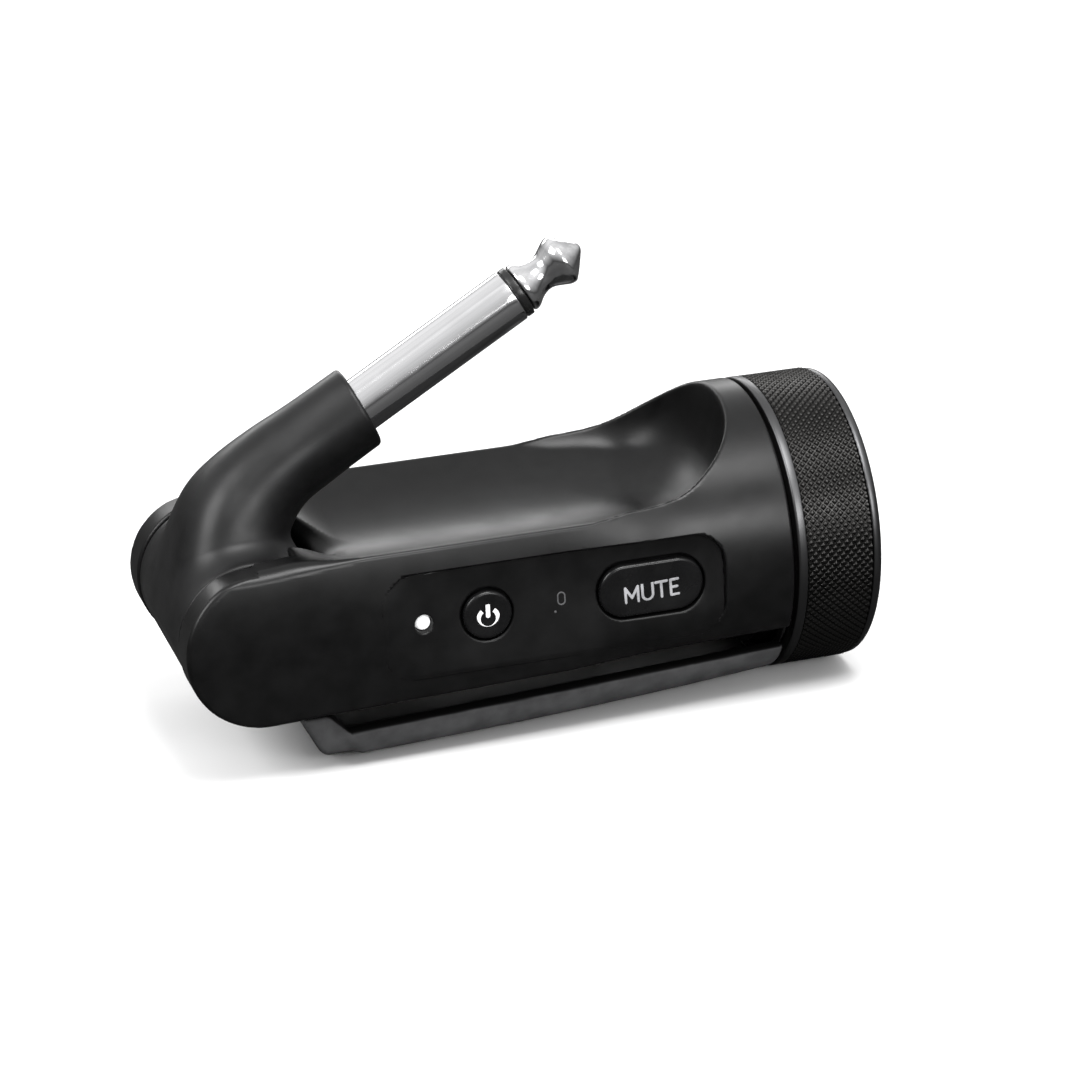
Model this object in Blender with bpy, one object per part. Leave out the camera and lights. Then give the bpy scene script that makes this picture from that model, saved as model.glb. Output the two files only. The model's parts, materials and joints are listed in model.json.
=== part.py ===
"""Wireless guitar transmitter with a folding 6.35 mm plug, in metres, +Z up.

The body lies along X: the plug arm pivots between two ears at the -X end, the screw cap closes the
battery bay at the +X end, and the controls face -Y. The design coordinates used below are measured
from the arm's hinge axis, which runs along Y. The empty "frame" carries them to the part's own
origin, which is the centre of the bottom of its bounding box.
"""

import math

import bmesh
import bpy
from mathutils import Matrix, Vector

GAP = 0.0003  # between neighbouring pieces

# Body, in design coordinates (origin on the hinge axis)
HALF_WIDTH = 0.0165  # flat side faces
EAR_RADIUS = 0.0090
EAR_INNER = 0.0116  # inner face of each ear
BODY_END = 0.0620
ROUND_RADIUS = 0.0174  # the round end of the body and the cap
ROUND_Z = 0.00075  # their axis
LEDGE_Z_HINGE = -0.0089  # lower edge of the side faces, at the hinge
LEDGE_Z_END = -0.0071  # and at the cap
BELLY_RADIUS = 0.0129
TOP_EDGE_Z = 0.0091  # upper edge of the side faces
CHANNEL_DEPTH = 0.0040  # of the concave channel that holds the folded plug
CHANNEL_START, CHANNEL_FULL = 0.0030, 0.0130
END_WALL_START, END_WALL = 0.0490, 0.0583
BODY_SQUARENESS = 8.0  # superellipse exponent of the square part of the body; 2 is a circle
SQUARE_UNTIL, ROUND_FROM = 0.0330, 0.0470

# Plug arm at rest
PLUG_ANGLE = math.radians(30.0)  # opened from the folded position
PLUG_OFFSET = 0.0107  # plug axis from hinge axis
COLLAR_END = 0.0248  # along the plug axis
COLLAR_RADIUS = 0.00475
BARREL_RADIUS = 0.0088
BARREL_HALF = EAR_INNER - GAP
PIN_RADIUS = 0.0022
PIN_HALF = 0.0140

# Standard 6.35 mm plug
PLUG_RADIUS = 0.003175
SLEEVE_LENGTH = 0.0215
INSULATOR_LENGTH = 0.0010
TIP_LENGTH = 0.0085
SHANK = 0.0080  # hidden in the collar

# Screw cap
CAP_START = BODY_END + 0.0005
GRIP_END = 0.0715
CAP_END = 0.0730
CAP_SEGMENTS = 56
NECK_RADIUS, NECK_BORE, NECK_END = 0.0146, 0.0134, 0.0680
CAP_BOSS = 0.0649  # inner face of the cap's boss, which reaches into the neck

# Battery bay and cell (14500 size)
CELL_RADIUS, CELL_LENGTH = 0.0071, 0.0480
BAY_RADIUS = 0.0075
BAY_Y, BAY_Z = 0.0005, -0.0034
BAY_START = 0.0120
CELL_START = 0.0150

# Controls on the -Y face
PANEL_X, PANEL_Z = 0.0337, 0.0005
PANEL_SIZE = (0.0398, 0.0118)
PANEL_CORNER = 0.0035
PANEL_FRONT = -HALF_WIDTH + 0.0006
PANEL_THICKNESS = 0.0010
POWER_X, POWER_Z, POWER_RADIUS = 0.0255, 0.0005, 0.0028
MUTE_X, MUTE_Z = 0.0447, 0.0008
MUTE_SIZE = (0.0128, 0.0062)
LED_X, LED_Z, LED_RADIUS = 0.0181, 0.0005, 0.0009
LINK_X, LINK_Z, LINK_RADIUS = 0.0339, 0.0010, 0.0007
BUTTON_FRONT = PANEL_FRONT - 0.0004
BUTTON_FLANGE = 0.0006
BOARD_FRONT, BOARD_BACK = -0.0116, -0.0108

# Strap clip
CLIP_HALF_WIDTHS = (0.0146, 0.0140)  # at the root and at the tip
CLIP_SQUARENESS = (3.4, 1.6)  # superellipse exponents of the section there
CLIP_THICKNESS = 0.0020
CLIP_SLANT = 0.5  # lean of the clip's end faces
CLIP_ROOT_TOP = -0.0092
CLIP_ROOT_X = 0.0034
CLIP_BLADE_X = 0.0072
CLIP_TIP_X = 0.0612
CLIP_TOP_ROOT, CLIP_TOP_TIP = -0.0117, -0.0097  # upper edges of the blade
CLIP_PIVOT = Vector((0.0112, 0, -0.0160))

# The part's origin in design coordinates: the middle of its length and its lowest line
BOX_MIDDLE_X = (CAP_END - EAR_RADIUS) / 2
BOTTOM_Z = ROUND_Z - ROUND_RADIUS

COLOURS = {
    "body_black": ((0.020, 0.020, 0.021), 0.42, 0.0),
    "arm_rubber": ((0.018, 0.018, 0.019), 0.62, 0.0),
    "panel_black": ((0.012, 0.012, 0.013), 0.50, 0.0),
    "button_black": ((0.016, 0.016, 0.017), 0.35, 0.0),
    "grip_metal": ((0.030, 0.029, 0.028), 0.45, 0.6),
    "rim_metal": ((0.090, 0.090, 0.092), 0.25, 0.9),
    "clip_grey": ((0.050, 0.050, 0.052), 0.45, 0.0),
    "chrome": ((0.78, 0.78, 0.79), 0.10, 1.0),
    "steel": ((0.55, 0.55, 0.56), 0.30, 1.0),
    "brass": ((0.72, 0.55, 0.26), 0.30, 1.0),
    "insulator_black": ((0.010, 0.010, 0.010), 0.40, 0.0),
    "led_white": ((0.90, 0.90, 0.90), 0.30, 0.0),
    "lens_smoke": ((0.10, 0.10, 0.10), 0.25, 0.0),
    "board_green": ((0.02, 0.10, 0.05), 0.55, 0.0),
    "switch_grey": ((0.20, 0.20, 0.21), 0.45, 0.2),
    "ceramic_white": ((0.80, 0.80, 0.78), 0.50, 0.0),
    "seal_rubber": ((0.010, 0.010, 0.010), 0.80, 0.0),
    "cell_wrap": ((0.05, 0.12, 0.30), 0.40, 0.0),
}


def clear_scene():
    for obj in list(bpy.data.objects):
        bpy.data.objects.remove(obj, do_unlink=True)


def material(name):
    found = bpy.data.materials.get(name)
    if found:
        return found
    colour, roughness, metallic = COLOURS[name]
    made = bpy.data.materials.new(name)
    made.use_nodes = True
    shader = made.node_tree.nodes["Principled BSDF"]
    shader.inputs["Base Color"].default_value = (*colour, 1.0)
    shader.inputs["Roughness"].default_value = roughness
    shader.inputs["Metallic"].default_value = metallic
    made.diffuse_color = (*colour, 1.0)
    return made


def add_empty(name, design_point, parent=None):
    """An empty at a point given in design coordinates, for the pieces that move about it."""
    empty = bpy.data.objects.new(name, None)
    bpy.context.scene.collection.objects.link(empty)
    empty["design_point"] = tuple(design_point)
    if parent is None:
        empty.location = (-BOX_MIDDLE_X, 0, -BOTTOM_Z)
    else:
        empty.parent = parent
        empty.location = Vector(design_point) - Vector(parent["design_point"])
    return empty


def add_piece(name, bm, colour, pivot):
    """Makes an object from a mesh in design coordinates, with its origin on the pivot empty."""
    bmesh.ops.recalc_face_normals(bm, faces=bm.faces)
    bmesh.ops.translate(bm, verts=bm.verts, vec=-Vector(pivot["design_point"]))
    mesh = bpy.data.meshes.new(name)
    bm.to_mesh(mesh)
    bm.free()
    mesh.shade_smooth()
    mesh.set_sharp_from_angle(angle=math.radians(35))
    mesh.materials.append(material(colour))
    obj = bpy.data.objects.new(name, mesh)
    bpy.context.scene.collection.objects.link(obj)
    obj.parent = pivot
    return obj


def boolean(obj, operation, name, bm):
    """Adds a Boolean with a hidden helper made from a mesh in design coordinates."""
    helper = add_piece(name, bm, "body_black", obj.parent)
    helper.hide_render = True
    helper.display_type = "WIRE"
    modifier = obj.modifiers.new(name, "BOOLEAN")
    modifier.operation = operation
    modifier.solver = "EXACT"
    modifier.object = helper


def cut(obj, name, bm):
    boolean(obj, "DIFFERENCE", name, bm)


def join(obj, name, bm):
    boolean(obj, "UNION", name, bm)


def loft(rings):
    """A closed mesh through rings of points, with flat end faces."""
    bm = bmesh.new()
    rows = [[bm.verts.new(point) for point in ring] for ring in rings]
    count = len(rows[0])
    for low, high in zip(rows, rows[1:]):
        for i in range(count):
            j = (i + 1) % count
            bm.faces.new((low[i], low[j], high[j], high[i]))
    bm.faces.new(rows[0][::-1])
    bm.faces.new(rows[-1])
    return bm


def prism(outline, y_low, y_high):
    """An XZ outline extruded along Y."""
    return loft([[(x, y, z) for x, z in outline] for y in (y_low, y_high)])


def turned(profile, centre, direction, segments=48):
    """A solid of revolution. The profile holds (distance along the axis, radius), closed on the axis."""
    bm = bmesh.new()
    turn = Vector((0, 0, 1)).rotation_difference(Vector(direction)).to_matrix().to_4x4()
    place = Matrix.Translation(Vector(centre)) @ turn
    rows = []
    for along, radius in profile:
        if radius == 0:
            rows.append([bm.verts.new(place @ Vector((0, 0, along)))])
            continue
        angles = [2 * math.pi * i / segments for i in range(segments)]
        rows.append([
            bm.verts.new(place @ Vector((radius * math.cos(a), radius * math.sin(a), along)))
            for a in angles
        ])
    pairs = list(zip(rows, rows[1:]))
    if len(rows[0]) > 1:
        pairs.append((rows[-1], rows[0]))
    for low, high in pairs:
        for i in range(segments):
            j = (i + 1) % segments
            if len(low) == 1:
                bm.faces.new((low[0], high[j], high[i]))
            elif len(high) == 1:
                bm.faces.new((low[i], low[j], high[0]))
            else:
                bm.faces.new((low[i], low[j], high[j], high[i]))
    return bm


def rod(radius, start, end, centre, direction, segments=48):
    return turned([(start, 0), (start, radius), (end, radius), (end, 0)], centre, direction, segments)


def tube(outer, inner, start, end, centre, direction, segments=48):
    return turned([(start, inner), (start, outer), (end, outer), (end, inner)], centre, direction, segments)


def box(low, high):
    bm = bmesh.new()
    bmesh.ops.create_cube(bm, size=1)
    size = Vector(high) - Vector(low)
    bmesh.ops.scale(bm, vec=size, verts=bm.verts)
    bmesh.ops.translate(bm, vec=(Vector(high) + Vector(low)) / 2, verts=bm.verts)
    return bm


def rounded_rectangle(x, z, width, height, corner, steps=6):
    """Outline in XZ, centred on (x, z)."""
    points = []
    for quarter, (sx, sz) in enumerate([(1, 1), (-1, 1), (-1, -1), (1, -1)]):
        for i in range(steps + 1):
            a = math.pi / 2 * (quarter + i / steps)
            points.append((
                x + sx * (width / 2 - corner) + corner * math.cos(a),
                z + sz * (height / 2 - corner) + corner * math.sin(a),
            ))
    return points


def blend(x, low, high):
    """0 at low and below, 1 at high and above, smooth between."""
    t = min(max((x - low) / (high - low), 0.0), 1.0)
    return t * t * (3 - 2 * t)


def mix(a, b, t):
    return a + (b - a) * t


def superellipse(half_width, half_height, squareness, angle):
    c, s = math.cos(angle), math.sin(angle)
    power = 2 / squareness
    return (
        math.copysign(half_width * abs(c) ** power, c),
        math.copysign(half_height * abs(s) ** power, s),
    )


def body_section(x, points=56):
    """The body's outer section: square with flat sides near the hinge, round at the cap."""
    t = blend(x, SQUARE_UNTIL, ROUND_FROM)
    squareness = 2 + (BODY_SQUARENESS - 2) * (1 - t) ** 2.5
    half_width = mix(HALF_WIDTH, ROUND_RADIUS, t)
    ring = []
    for i in range(points):
        y, z = superellipse(half_width, ROUND_RADIUS, squareness, 2 * math.pi * (i + 0.5) / points)
        ring.append((x, y, ROUND_Z + z))
    return ring


def channel_section(x, points=25, top=0.022, open_half=0.020):
    """One section of the cutter that leaves the concave channel and its rounded end wall."""
    depth = CHANNEL_DEPTH * blend(x, CHANNEL_START, CHANNEL_FULL)
    t = max((x - 0.0440) / (END_WALL - 0.0440), 0.0)
    walled_half = 0.0155 * max(1 - t ** 3.2, 1e-4) ** 0.385
    half = mix(open_half, walled_half, blend(x, 0.0400, 0.0475))
    closing = blend(x, 0.0415, 0.0485)
    u = max((x - END_WALL_START) / (END_WALL - END_WALL_START), 0.0)
    rise = (0.0180 - TOP_EDGE_Z + CHANNEL_DEPTH) * (1 - math.sqrt(max(1 - u * u, 0)))
    ring = []
    for i in range(points):
        v = -1 + 2 * i / (points - 1)
        y = half * math.sin(v * math.pi / 2)
        z = TOP_EDGE_Z - depth * (1 - (y / HALF_WIDTH) ** 2) + rise
        wall = closing * (top - z) * (1 - math.sqrt(max(1 - abs(y / half) ** 16, 0)))
        ring.append((x, y, min(z + wall, top - 0.0004 * (1 - abs(v)) - 0.0002)))
    ring.append((x, half, top))
    ring.append((x, -half, top))
    return ring


def housing_outline():
    """Side view of the body: a round end about the hinge axis, and the sloping lower edge."""
    points = []
    for i in range(25):
        a = math.pi / 2 + math.pi * i / 24
        points.append((EAR_RADIUS * math.cos(a), EAR_RADIUS * math.sin(a)))
    points[-1] = (0, LEDGE_Z_HINGE)
    points += [(BODY_END, LEDGE_Z_END), (BODY_END, 0.021), (0.0100, 0.021), (0.0100, TOP_EDGE_Z)]
    return points


def fork_outline():
    """Side view of the space between the ears: clear of the barrel, and of the neck when it is folded."""
    clear = BARREL_RADIUS + 0.0006
    points = [(-0.0120, -0.0120), (clear * 0.5, -0.0120)]
    for i in range(9):
        a = -math.pi / 3 + math.pi / 3 * i / 8
        points.append((clear * math.cos(a), clear * math.sin(a)))
    points += [(0.0103, 0.0030), (0.0112, 0.0046), (0.0121, 0.0056), (0.0121, 0.0120), (-0.0120, 0.0120)]
    return points


def housing(frame):
    steps = 13
    stations = [-0.0100, 0.0330]
    stations += [0.0345 + 0.0125 * i / steps for i in range(steps + 1)] + [0.0540, BODY_END]
    obj = add_piece("housing", loft([body_section(x) for x in stations]), "body_black", frame)
    outline = prism(housing_outline(), -0.030, 0.030)
    boolean(obj, "INTERSECT", "side_outline", outline)
    round_centre = (0, 0, ROUND_Z)
    join(obj, "belly", rod(BELLY_RADIUS, 0.0098, BODY_END - 0.0002, round_centre, (1, 0, 0), 64))
    join(obj, "thread_neck", rod(NECK_RADIUS, BODY_END - 0.003, NECK_END, round_centre, (1, 0, 0), 64))

    stations = [0.0010 + 0.0130 * i / 7 for i in range(8)] + [0.0390]
    stations += [0.0405 + 0.0075 * i / 6 for i in range(7)]
    stations += [0.0480 + (END_WALL - 0.0480) * math.sin(math.pi / 2 * i / 10) for i in range(1, 11)]
    cut(obj, "channel", loft([channel_section(x) for x in stations]))
    cut(obj, "fork", prism(fork_outline(), -EAR_INNER, EAR_INNER))
    cut(obj, "pin_bore", rod(PIN_RADIUS + 0.00015, -PIN_HALF - GAP, PIN_HALF + GAP, (0, 0, 0), (0, 1, 0), 32))
    cut(obj, "bay", rod(BAY_RADIUS, BAY_START, BODY_END + 0.001, (0, BAY_Y, BAY_Z), (1, 0, 0)))
    cut(obj, "neck_bore", rod(NECK_BORE, BODY_END, NECK_END + 0.001, round_centre, (1, 0, 0), 64))
    cut(obj, "electronics", box((0.0150, -0.0150, -0.0052), (0.0525, -0.0084, 0.0049)))
    window = rounded_rectangle(PANEL_X, PANEL_Z, *PANEL_SIZE, PANEL_CORNER)
    cut(obj, "panel_window", prism(window, -0.0180, -0.0148))
    cut(obj, "wire_hole", rod(0.0012, -0.0095, -0.0040, (0.0500, 0, -0.0030), (0, 1, 0), 16))


def panel(frame):
    outline = rounded_rectangle(
        PANEL_X, PANEL_Z, PANEL_SIZE[0] - 2 * GAP, PANEL_SIZE[1] - 2 * GAP, PANEL_CORNER - GAP
    )
    obj = add_piece(
        "control_panel", prism(outline, PANEL_FRONT, PANEL_FRONT + PANEL_THICKNESS), "panel_black", frame
    )
    y_low, y_high = PANEL_FRONT - 0.001, PANEL_FRONT + PANEL_THICKNESS + 0.001
    for name, x, z, radius in (
        ("power_hole", POWER_X, POWER_Z, POWER_RADIUS),
        ("led_hole", LED_X, LED_Z, LED_RADIUS),
        ("link_hole", LINK_X, LINK_Z, LINK_RADIUS),
    ):
        cut(obj, name, rod(radius + GAP, y_low, y_high, (x, 0, z), (0, 1, 0), 32))
    width, height = (size + 2 * GAP for size in MUTE_SIZE)
    hole = rounded_rectangle(MUTE_X, MUTE_Z, width, height, height / 2 - 0.00005)
    cut(obj, "mute_hole", prism(hole, y_low, y_high))


def buttons(frame):
    """Power and mute buttons, which are held behind the panel by a flange and slide inwards."""
    panel_back = PANEL_FRONT + PANEL_THICKNESS
    flange = (panel_back + GAP, panel_back + GAP + 0.0005)
    power_pivot = add_empty("power_axis", (POWER_X, 0, POWER_Z), frame)
    edge = 0.0003
    profile = [
        (BUTTON_FRONT, 0),
        (BUTTON_FRONT, POWER_RADIUS - edge),
        (BUTTON_FRONT + edge, POWER_RADIUS),
        (flange[0], POWER_RADIUS),
        (flange[0], POWER_RADIUS + BUTTON_FLANGE),
        (flange[1], POWER_RADIUS + BUTTON_FLANGE),
        (flange[1], 0),
    ]
    power_centre = (POWER_X, 0, POWER_Z)
    add_piece("power_button", turned(profile, power_centre, (0, 1, 0)), "button_black", power_pivot)

    mute_pivot = add_empty("mute_axis", (MUTE_X, 0, MUTE_Z), frame)
    rings = []
    for y, grow in (
        (BUTTON_FRONT, -edge),
        (BUTTON_FRONT + edge, 0),
        (flange[0], 0),
        (flange[0] + 0.00001, BUTTON_FLANGE),
        (flange[1], BUTTON_FLANGE),
    ):
        width, height = (size + 2 * grow for size in MUTE_SIZE)
        outline = rounded_rectangle(MUTE_X, MUTE_Z, width, height, height / 2 - 0.00005, 8)
        rings.append([(x, y, z) for x, z in outline])
    add_piece("mute_button", loft(rings), "button_black", mute_pivot)


def indicators(frame):
    back = PANEL_FRONT + PANEL_THICKNESS
    for name, x, z, radius, colour in (
        ("status_led", LED_X, LED_Z, LED_RADIUS, "led_white"),
        ("link_indicator", LINK_X, LINK_Z, LINK_RADIUS, "lens_smoke"),
    ):
        profile = [
            (PANEL_FRONT - 0.0001, 0),
            (PANEL_FRONT - 0.0001, radius),
            (back + 0.0006, radius),
            (back + 0.0006, 0),
        ]
        add_piece(name, turned(profile, (x, 0, z), (0, 1, 0), 24), colour, frame)


def electronics(frame):
    board = box((0.0156, BOARD_FRONT, -0.0044), (0.0519, BOARD_BACK, 0.0036))
    add_piece("main_board", board, "board_green", frame)
    front = BOARD_FRONT - GAP
    for name, x, z in (("power_switch", POWER_X, POWER_Z), ("mute_switch", MUTE_X, MUTE_Z)):
        case = box((x - 0.0018, front - 0.0011, z - 0.0018), (x + 0.0018, front, z + 0.0018))
        obj = add_piece(name, case, "switch_grey", frame)
        plunger = rod(0.0009, front - 0.0015, front - 0.0005, (x, 0, z), (0, 1, 0), 20)
        join(obj, name + "_plunger", plunger)
    for name, x, z in (("status_chip", LED_X, LED_Z), ("link_chip", LINK_X, LINK_Z)):
        chip = box((x - 0.0008, front - 0.0007, z - 0.0005), (x + 0.0008, front, z + 0.0005))
        add_piece(name, chip, "ceramic_white", frame)
    back = BOARD_BACK + GAP
    shield = box((0.0190, back, -0.0040), (0.0330, back + 0.0016, 0.0030))
    add_piece("radio_shield", shield, "steel", frame)
    chip = box((0.0350, back, -0.0020), (0.0410, back + 0.0010, 0.0026))
    add_piece("audio_chip", chip, "insulator_black", frame)
    antenna = box((0.0440, back, 0.0008), (0.0510, back + 0.0012, 0.0026))
    add_piece("antenna", antenna, "ceramic_white", frame)


def battery(frame):
    axis = (0, BAY_Y, BAY_Z)
    end = CELL_START + CELL_LENGTH
    bevel = 0.0006
    profile = [
        (CELL_START, 0),
        (CELL_START, CELL_RADIUS - bevel),
        (CELL_START + bevel, CELL_RADIUS),
        (end - bevel, CELL_RADIUS),
        (end, CELL_RADIUS - bevel),
        (end, 0),
    ]
    add_piece("battery_cell", turned(profile, axis, (1, 0, 0), 36), "cell_wrap", frame)
    terminal = rod(0.0027, end + 0.0001, end + 0.0010, axis, (1, 0, 0), 24)
    add_piece("battery_terminal", terminal, "steel", frame)
    contact = rod(0.0066, BAY_START + GAP, BAY_START + 2 * GAP, axis, (1, 0, 0), 32)
    add_piece("bay_contact", contact, "steel", frame)
    add_piece("bay_spring", coil(BAY_START + 0.0012, CELL_START - 0.0006, axis), "steel", frame)


def coil(start, end, axis, turns=2.5, wire=0.0003, per_turn=20, sides=6):
    """A conical helical spring along X, wide at the contact and narrower at the cell."""
    rings = []
    count = int(turns * per_turn)
    for i in range(count + 1):
        t = i / count
        a = 2 * math.pi * turns * t
        radius = mix(0.0056, 0.0038, t)
        centre = Vector((mix(start, end, t), radius * math.cos(a), radius * math.sin(a)))
        outward = Vector((0, math.cos(a), math.sin(a)))
        rings.append([
            Vector(axis) + centre + wire * (math.cos(b) * outward + math.sin(b) * Vector((1, 0, 0)))
            for b in (2 * math.pi * k / sides for k in range(sides))
        ])
    return loft(rings)


def cap(frame):
    carrier_axis = add_empty("cap_travel_axis", (CAP_START, 0, ROUND_Z), frame)
    turn_axis = add_empty("cap_turn_axis", (CAP_START, 0, ROUND_Z), carrier_axis)
    centre = (0, 0, ROUND_Z)
    seal = tube(0.0158, NECK_RADIUS + GAP, BODY_END + 0.0001, BODY_END + 0.0004, centre, (1, 0, 0))
    add_piece("cap_seal", seal, "seal_rubber", frame)
    edge = 0.0004
    grip = [
        (CAP_START, NECK_RADIUS + GAP),
        (CAP_START, ROUND_RADIUS - edge),
        (CAP_START + edge, ROUND_RADIUS),
        (GRIP_END - edge / 2, ROUND_RADIUS),
        (GRIP_END, ROUND_RADIUS - edge),
        (GRIP_END, NECK_RADIUS + GAP),
    ]
    add_piece("cap_grip", turned(grip, centre, (1, 0, 0), CAP_SEGMENTS), "grip_metal", turn_axis)
    rim = GRIP_END + GAP
    round_edge = 0.0010
    end = [(CAP_BOSS, 0), (CAP_BOSS, NECK_BORE - GAP), (NECK_END + GAP, NECK_BORE - GAP)]
    end += [(NECK_END + GAP, NECK_RADIUS), (rim, NECK_RADIUS), (rim, ROUND_RADIUS - 0.0002)]
    for i in range(5):
        a = math.pi / 2 * i / 4
        end.append((
            CAP_END - round_edge + round_edge * math.sin(a),
            ROUND_RADIUS - 0.0002 - round_edge + round_edge * math.cos(a),
        ))
    end += [(CAP_END, 0.0130), (CAP_END - 0.0004, 0.0126), (CAP_END - 0.0004, 0)]
    add_piece("cap_end", turned(end, centre, (1, 0, 0), CAP_SEGMENTS), "rim_metal", turn_axis)
    contact = rod(0.0120, CAP_BOSS - 2 * GAP, CAP_BOSS - GAP, centre, (1, 0, 0))
    add_piece("cap_contact", contact, "brass", carrier_axis)


def arm_section(centre, lean, half_depth, half_width, squareness, points=32):
    """A section of the arm: lean is the path's angle from vertical, towards +X."""
    across = Vector((math.cos(lean), 0, -math.sin(lean)))
    ring = []
    for i in range(points):
        depth, width = superellipse(half_depth, half_width, squareness, 2 * math.pi * (i + 0.5) / points)
        ring.append(Vector((centre[0], 0, centre[1])) + depth * across + Vector((0, width, 0)))
    return ring


def on_plug_axis(along, offset=0.0):
    """A point in XZ: along the plug's axis, and off it towards the hinge by offset."""
    c, s = math.cos(PLUG_ANGLE), math.sin(PLUG_ANGLE)
    away = PLUG_OFFSET - offset
    return (along * c - away * s, along * s + away * c)


def arm(frame):
    pivot = add_empty("arm_axis", (0, 0, 0), frame)
    plug_lean = math.pi / 2 - PLUG_ANGLE
    sections = [
        arm_section((0.0, 0.0), 0.0, 0.0086, 0.0110, 4.0),
        arm_section((0.0, 0.0040), 0.0, 0.0079, 0.0108, 3.6),
        arm_section((0.0, 0.0075), 0.02, 0.0070, 0.0094, 3.0),
        arm_section((0.0007, 0.0110), 0.22, 0.0061, 0.0075, 2.5),
        arm_section((0.0024, 0.0138), 0.55, 0.0057, 0.0063, 2.2),
        arm_section((0.0050, 0.0161), 0.85, 0.0053, 0.0056, 2.0),
        arm_section(on_plug_axis(0.0160), plug_lean, 0.0050, 0.0051, 2.0),
        arm_section(on_plug_axis(COLLAR_END - 0.0004), plug_lean, COLLAR_RADIUS, COLLAR_RADIUS, 2.0),
        arm_section(on_plug_axis(COLLAR_END), plug_lean, COLLAR_RADIUS - 0.0004, COLLAR_RADIUS - 0.0004, 2.0),
    ]
    obj = add_piece("plug_arm", loft(sections), "arm_rubber", pivot)
    join(obj, "barrel", rod(BARREL_RADIUS, -BARREL_HALF, BARREL_HALF, (0, 0, 0), (0, 1, 0), 64))
    bore = PIN_RADIUS + GAP
    cut(obj, "arm_bore", rod(bore, -BARREL_HALF - 0.001, BARREL_HALF + 0.001, (0, 0, 0), (0, 1, 0), 32))
    for name, side in (("near", -1), ("far", 1)):
        seat = sorted((side * (BARREL_HALF - 0.0010), side * (BARREL_HALF + 0.001)))
        cut(obj, "seat_" + name, rod(0.0063, *seat, (0, 0, 0), (0, 1, 0), 40))
        disc = sorted((side * (BARREL_HALF - 0.0007), side * BARREL_HALF))
        ring = tube(0.0060, PIN_RADIUS + GAP, *disc, (0, 0, 0), (0, 1, 0), 40)
        add_piece("friction_ring_" + name, ring, "steel", pivot)
    plug(obj, pivot)
    pin = rod(PIN_RADIUS, -PIN_HALF, PIN_HALF, (0, 0, 0), (0, 1, 0), 32)
    add_piece("hinge_pin", pin, "steel", frame)


def plug(arm_obj, pivot):
    """The 6.35 mm plug: an earthed sleeve, and a tip on a rod that the insulator keeps off the sleeve."""
    direction = (math.cos(PLUG_ANGLE), 0, math.sin(PLUG_ANGLE))
    x, z = on_plug_axis(0)
    base = (x, 0, z)
    root = COLLAR_END - SHANK
    sleeve_end = COLLAR_END + SLEEVE_LENGTH
    ring_end = sleeve_end + INSULATOR_LENGTH
    cut(arm_obj, "plug_socket", rod(PLUG_RADIUS + GAP, root - GAP, COLLAR_END + 0.001, base, direction, 40))
    bore, core, inner = 0.0022, 0.0019, 0.0013
    sleeve = tube(PLUG_RADIUS, bore, root, sleeve_end - 0.0001, base, direction, 40)
    add_piece("plug_sleeve", sleeve, "chrome", pivot)
    insulator = [
        (root, inner),
        (root, core),
        (sleeve_end + 0.0002, core),
        (sleeve_end + 0.0002, PLUG_RADIUS - 0.0001),
        (ring_end - 0.0002, PLUG_RADIUS - 0.0001),
        (ring_end - 0.0002, inner),
    ]
    add_piece("plug_insulator", turned(insulator, base, direction, 40), "insulator_black", pivot)
    tip = [(root, 0), (root, 0.0010), (ring_end + 0.0001, 0.0010)]
    tip += [(ring_end + along, radius) for along, radius in (
        (0.0001, 0.0027), (0.0008, 0.0027), (0.0018, 0.0023), (0.0028, 0.0020), (0.0036, 0.0021),
        (0.0046, 0.0026), (0.0054, 0.0030), (0.0060, 0.0030), (0.0080, 0.0009), (TIP_LENGTH, 0),
    )]
    add_piece("plug_tip", turned(tip, base, direction, 36), "chrome", pivot)


def clip_curve(x, inset, top_z, points=21):
    """The lower curve of the clip's section from one upper edge to the other, as (y, z)."""
    t = min(max((x - CLIP_ROOT_X) / (CLIP_TIP_X - CLIP_ROOT_X), 0), 1)
    half_width = mix(CLIP_HALF_WIDTHS[0], CLIP_HALF_WIDTHS[1], t) - inset
    squareness = mix(CLIP_SQUARENESS[0], CLIP_SQUARENESS[1], t)
    height = top_z - BOTTOM_Z - inset
    curve = []
    for i in range(points):
        v = math.sin(math.pi / 2 * (-1 + 2 * i / (points - 1)))
        curve.append((half_width * v, top_z - height * (1 - abs(v) ** squareness) ** (1 / squareness)))
    return curve


def lean(x, z):
    return x + CLIP_SLANT * (CLIP_ROOT_TOP - z)


def clip(frame):
    rounded_start = [(CLIP_ROOT_X, 0.0012), (CLIP_ROOT_X + 0.0004, 0.0004), (CLIP_ROOT_X + 0.0012, 0)]
    root_rings = []
    for x, inset in rounded_start + [(CLIP_BLADE_X - GAP, 0)]:
        root_rings.append([(lean(x, z), y, z) for y, z in clip_curve(x, inset, CLIP_ROOT_TOP)])
    add_piece("clip_root", loft(root_rings), "clip_grey", frame)

    pivot = add_empty("clip_axis", CLIP_PIVOT, frame)
    stations = [0.0, 0.12, 0.25, 0.38, 0.5, 0.62, 0.75, 0.88, 1.0]
    rings = []
    for t in stations:
        x = mix(CLIP_BLADE_X, CLIP_TIP_X, t)
        top = mix(CLIP_TOP_ROOT, CLIP_TOP_TIP, t)
        outer = clip_curve(x, 0, top)
        inner = clip_curve(x, CLIP_THICKNESS, top)[::-1]
        rings.append([(mix(lean(x, z), x, t), y, z) for y, z in outer + inner])
    add_piece("clip_blade", loft(rings), "clip_grey", pivot)


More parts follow.
